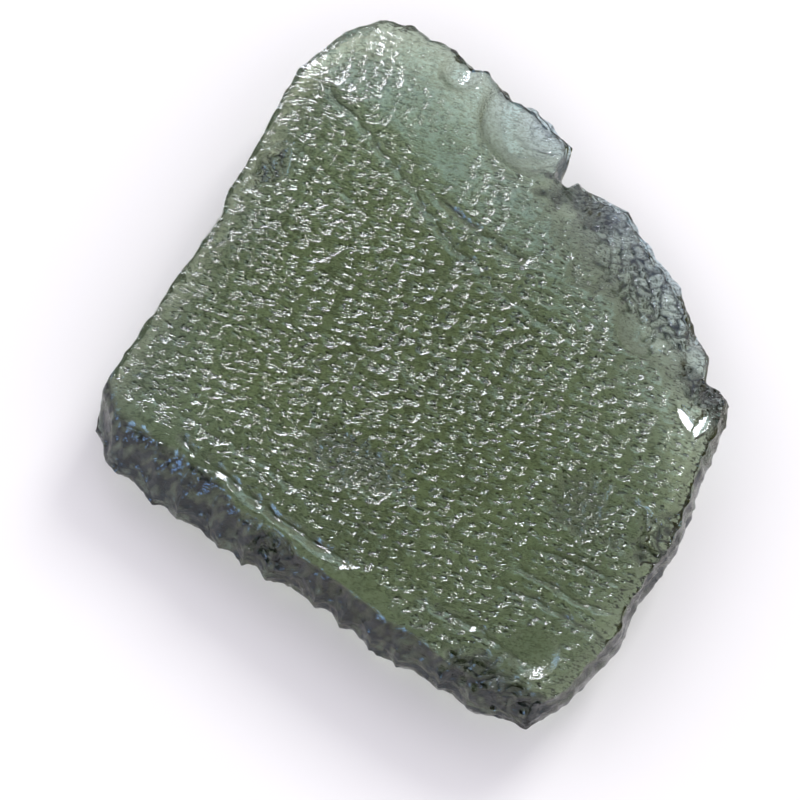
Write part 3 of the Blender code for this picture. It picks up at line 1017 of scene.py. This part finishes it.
# %% [markdown]
# Painted shade isn't a layer of its own here. It is a darker tint of the same surface, wherever
# either strokes of the etching or the mesh's attribute for painted shade ask for it: in the
# hollows of the etching, in creases, crack lines, rims, the bevel and on the walls, and over
# some bruised zones as a darkening. Elsewhere the surface keeps a faint cool tint. Last, a slow
# noise changes the finish from glossy to satin and back, as wear does.

# %% Painted shade in strokes and elsewhere
UNSHADED_TINT = (0.725, 0.855, 0.93, 1.0)
# the dark tint of all painted shade, and of the darkened bruised zones
PAINTED_SHADE_TINT = (0.001, 0.003, 0.010, 1.0)
SHADE_STROKE_NOISE = (0.39, 0.50)
SHADE_STROKE_DARKNESS = (0.92, 0.0)


def add_tint(material, noise, strength):
    """The tint of the surface: dark as painted shade in strokes of the etching, and where the
    mesh's attribute for painted shade asks for it.
    """
    nodes = material.node_tree.nodes
    links = material.node_tree.links
    tint = nodes.new("ShaderNodeMix")
    tint.data_type = "RGBA"
    tint.inputs["A"].default_value = UNSHADED_TINT
    tint.inputs["B"].default_value = PAINTED_SHADE_TINT
    # painted shade: dark strokes where the etching noise is low, in its hollows
    shade_stroke = map_range(nodes, SHADE_STROKE_NOISE, SHADE_STROKE_DARKNESS)
    shade_stroke_here = nodes.new("ShaderNodeMath")
    shade_stroke_here.operation = "MULTIPLY"
    darkest = nodes.new("ShaderNodeMath")
    darkest.operation = "MAXIMUM"
    links.new(noise, shade_stroke.inputs["Value"])
    links.new(shade_stroke.outputs["Result"], shade_stroke_here.inputs[0])
    links.new(strength, shade_stroke_here.inputs[1])
    links.new(shade_stroke_here.outputs["Value"], darkest.inputs[0])
    # the mesh's attribute for painted shade, with the darkened bruised zones
    links.new(attribute(nodes, "shade_paint").outputs["Fac"], darkest.inputs[1])
    links.new(darkest.outputs["Value"], tint.inputs["Factor"])
    links.new(tint.outputs["Result"], nodes["Principled BSDF"].inputs["Base Color"])


# %% Satin finish
SATIN_SCALE = 350.0
SATIN_NOISE = (0.35, 0.7)
SATIN_ROUGHNESS = (0.04, 0.09)


def add_satin(material, place):
    """A finish that changes slowly from glossy to satin."""
    nodes = material.node_tree.nodes
    links = material.node_tree.links
    haze = nodes.new("ShaderNodeTexNoise")
    haze.inputs["Scale"].default_value = SATIN_SCALE
    links.new(place, haze.inputs["Vector"])
    satin = map_range(nodes, SATIN_NOISE, SATIN_ROUGHNESS)
    links.new(haze.outputs["Fac"], satin.inputs["Value"])
    links.new(satin.outputs["Result"], nodes["Principled BSDF"].inputs["Roughness"])


# %% [markdown]
# The glass itself is three plain values: full transmission, the refraction of moldavite,
# and an absorption whose colour is what is left of white light.

# %% Glass that is coloured by its depth
GLASS_IOR = 1.49
ABSORPTION_COLOUR = (0.585, 0.58, 0.13, 1.0)
ABSORPTION_DENSITY = 238.0


def green_glass():
    """Clear olive-green glass with an etched surface and painted shade."""
    material = bpy.data.materials.new("green_glass")
    material.use_nodes = True
    nodes = material.node_tree.nodes
    shader = nodes["Principled BSDF"]
    shader.inputs["IOR"].default_value = GLASS_IOR
    shader.inputs["Transmission Weight"].default_value = 1.0
    place = nodes.new("ShaderNodeTexCoord").outputs["Object"]
    noise, strength = etching(material, place)
    add_bump(material, noise, strength)
    add_tint(material, noise, strength)
    add_satin(material, place)
    depth = nodes.new("ShaderNodeVolumeAbsorption")
    depth.inputs["Color"].default_value = ABSORPTION_COLOUR
    depth.inputs["Density"].default_value = ABSORPTION_DENSITY
    material.node_tree.links.new(depth.outputs["Volume"], nodes["Material Output"].inputs["Volume"])
    return material


stone.data.materials.append(green_glass())
print("glass nodes:", len(stone.data.materials[0].node_tree.nodes))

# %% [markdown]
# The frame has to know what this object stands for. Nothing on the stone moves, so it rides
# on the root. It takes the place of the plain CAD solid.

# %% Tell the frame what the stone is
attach(stone, "root")
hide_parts("moldavite")
print(stone.name, "takes the place of the CAD solid")

# %% [markdown]
# ## The floor
# The stone lies on a plain white floor, a hair below it, so that glass and floor never share
# a surface.

# %% White floor
FLOOR_SIZE = 4.0
FLOOR_GAP = 0.00003
FLOOR_COLOUR = (0.93, 0.925, 0.93, 1.0)
FLOOR_ROUGHNESS = 0.6
MATT_SHINE = 0.2


def plain(name, colour, roughness):
    """A plain matt material."""
    material = bpy.data.materials.new(name)
    material.use_nodes = True
    shader = material.node_tree.nodes["Principled BSDF"]
    shader.inputs["Base Color"].default_value = colour
    shader.inputs["Roughness"].default_value = roughness
    shader.inputs["Specular IOR Level"].default_value = MATT_SHINE
    return material


floor_shape = bmesh.new()
bmesh.ops.create_grid(floor_shape, x_segments=1, y_segments=1, size=FLOOR_SIZE / 2.0)
bmesh.ops.translate(floor_shape, verts=floor_shape.verts, vec=(0.0, 0.0, -FLOOR_GAP))
floor_mesh = bpy.data.meshes.new("floor")
floor_shape.to_mesh(floor_mesh)
floor_shape.free()
floor = bpy.data.objects.new("floor", floor_mesh)
floor.data.materials.append(plain("white_floor", FLOOR_COLOUR, FLOOR_ROUGHNESS))
bpy.context.scene.collection.objects.link(floor)
print("floor is", FLOOR_SIZE, "m wide")

# %% [markdown]
# ## The room
# A pale room lights the stone from all round. Its walls are bright and its ceiling is dim:
# the level face mirrors only the ceiling, so it stays dark and deep, while light from the
# walls and the floor comes up through the glass.

# %% Pale room with a dim ceiling
ROOM_COLOUR = (0.97, 0.94, 1.0, 1.0)
CEILING_FROM = (0.8, 0.93)
WALLS_TO_CEILING = (1.17, 0.26)


def pale_room():
    """A world that is bright at the walls and dim overhead."""
    room = bpy.data.worlds.new("pale_room")
    room.use_nodes = True
    nodes = room.node_tree.nodes
    links = room.node_tree.links
    background = nodes["Background"]
    background.inputs["Color"].default_value = ROOM_COLOUR
    direction = nodes.new("ShaderNodeTexCoord")
    parts = nodes.new("ShaderNodeSeparateXYZ")
    ceiling = map_range(nodes, CEILING_FROM, WALLS_TO_CEILING)
    links.new(direction.outputs["Generated"], parts.inputs["Vector"])
    links.new(parts.outputs["Z"], ceiling.inputs["Value"])
    links.new(ceiling.outputs["Result"], background.inputs["Strength"])
    return room


bpy.context.scene.world = pale_room()
bpy.context.scene.view_settings.view_transform = "Standard"
print("room is", WALLS_TO_CEILING[0], "bright at the walls and", WALLS_TO_CEILING[1], "overhead")

# %% [markdown]
# ## Lamps
# Four small soft lamps stand where the pits and bevels mirror them. The main one, high
# behind the stone, makes the white glints. A pale blue one beside it adds faint ones, and two
# blue ones on the left light up the bumps of the bevel and a few pits. They only glint,
# because the light that they would send through the glass would be all noise. A fifth lamp,
# at the right behind, isn't mirrored at all and gives the wide soft shadow at the left front.

# %% Soft lamps
LAMPS = [
    # name, azimuth from +Y towards +X, elevation, distance, size, radiance, colour, only glints
    ("key_lamp", -4.0, 52.0, 0.55, 0.115, 40.0, (0.86, 0.86, 1.0), True),
    ("sky_lamp", 24.0, 54.0, 0.55, 0.17, 2.8, (0.6, 0.95, 1.0), True),
    ("cool_lamp", -118.0, 32.0, 0.4, 0.15, 10.0, (0.25, 0.5, 1.0), True),
    ("far_lamp", 38.0, 38.0, 0.6, 0.2, 12.0, (1.0, 1.0, 0.97), False),
    ("blue_window", -50.0, 50.0, 0.5, 0.12, 7.0, (0.3, 0.6, 1.0), True),
]


def upwards(azimuth, elevation):
    """The direction at that azimuth and elevation, in degrees."""
    turn = math.radians(azimuth)
    rise = math.radians(elevation)
    level = math.cos(rise)
    return Vector((level * math.sin(turn), level * math.cos(turn), math.sin(rise)))


def soft_lamp(name, azimuth, elevation, away, size, radiance, colour, only_glints):
    """A square soft lamp that looks at the stone. Its power follows from its radiance."""
    towards = upwards(azimuth, elevation)
    data = bpy.data.lights.new(name, "AREA")
    data.size = size
    data.energy = radiance * math.pi * size ** 2
    data.color = colour
    lamp = bpy.data.objects.new(name, data)
    lamp.location = towards * away
    lamp.rotation_euler = towards.to_track_quat("Z", "Y").to_euler()
    lamp.visible_transmission = False
    lamp.visible_diffuse = not only_glints
    lamp.visible_glossy = only_glints
    bpy.context.scene.collection.objects.link(lamp)
    return lamp


for values in LAMPS:
    lamp = soft_lamp(*values)
    print(lamp.name, "gives", round(lamp.data.energy, 3), "W")

# %% [markdown]
# ## Camera
# The photograph looks down steeply, about 72 degrees above the floor. A short lens close by
# would swell the near end of the stone, so a long lens looks at it from 17 cm away.

# %% Camera at the photograph's view
CAMERA_ELEVATION = math.radians(72.0)
LENS = 150.0
SENSOR = 36.0
FRAME_WIDTH = 0.040
NEAR_LIMIT = 0.005
CAMERA_TARGET = Vector((-0.00054, -0.00157, 0.002))
camera_data = bpy.data.cameras.new("camera")
camera_data.lens = LENS
camera_data.sensor_width = SENSOR
camera_data.clip_start = NEAR_LIMIT
camera = bpy.data.objects.new("camera", camera_data)
towards_camera = Vector((0.0, -math.cos(CAMERA_ELEVATION), math.sin(CAMERA_ELEVATION)))
camera.location = CAMERA_TARGET + towards_camera * FRAME_WIDTH * LENS / SENSOR
camera.rotation_euler = towards_camera.to_track_quat("Z", "Y").to_euler()
bpy.context.scene.collection.objects.link(camera)
bpy.context.scene.camera = camera
print("camera is", round(FRAME_WIDTH * LENS / SENSOR, 3), "m from the stone")
